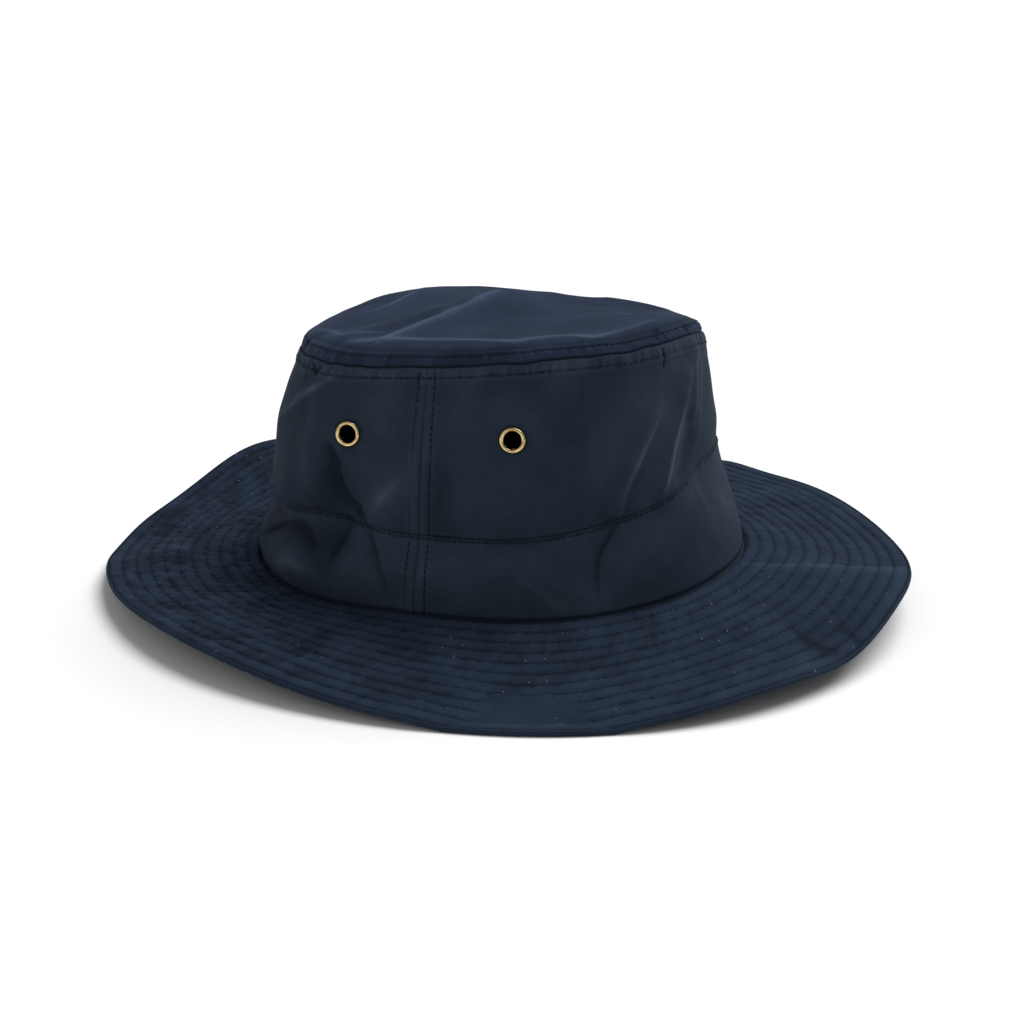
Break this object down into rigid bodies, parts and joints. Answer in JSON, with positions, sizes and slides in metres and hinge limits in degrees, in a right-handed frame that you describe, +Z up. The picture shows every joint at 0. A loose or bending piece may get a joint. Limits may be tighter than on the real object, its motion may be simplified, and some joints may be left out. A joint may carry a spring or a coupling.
{
  "type": "safari hat",
  "caption": "Soft cloth sun hat with a domed oval crown, a lower band, a wide quilted wavy brim and brass vent eyelets in its sides.",
  "frame": {"origin": "middle of the bounding box, on the table that the brim rests on", "axes": "+X towards the front of the hat, -Y towards the side that the picture shows, +Z up"},
  "size_m": [0.3332, 0.2978, 0.1222],
  "materials": {
    "tip_cloth": "dark navy microfibre, smooth, slight sheen",
    "side_cloth": "dark navy microfibre, smooth, slight sheen",
    "brim_cloth": "dark navy microfibre, quilted with rows of stitches",
    "eyelet_brass": "warm antique brass, lightly polished"
  },
  "bodies": {
    "root": {"crown_tip": "tip_cloth", "crown_upper_front": "side_cloth", "crown_upper_back": "side_cloth", "crown_band_front": "side_cloth", "crown_band_back": "side_cloth", "brim": "brim_cloth", "eyelet_near_front": "eyelet_brass", "eyelet_near_back": "eyelet_brass", "eyelet_far_front": "eyelet_brass", "eyelet_far_back": "eyelet_brass"}
  },
  "joints": []
}
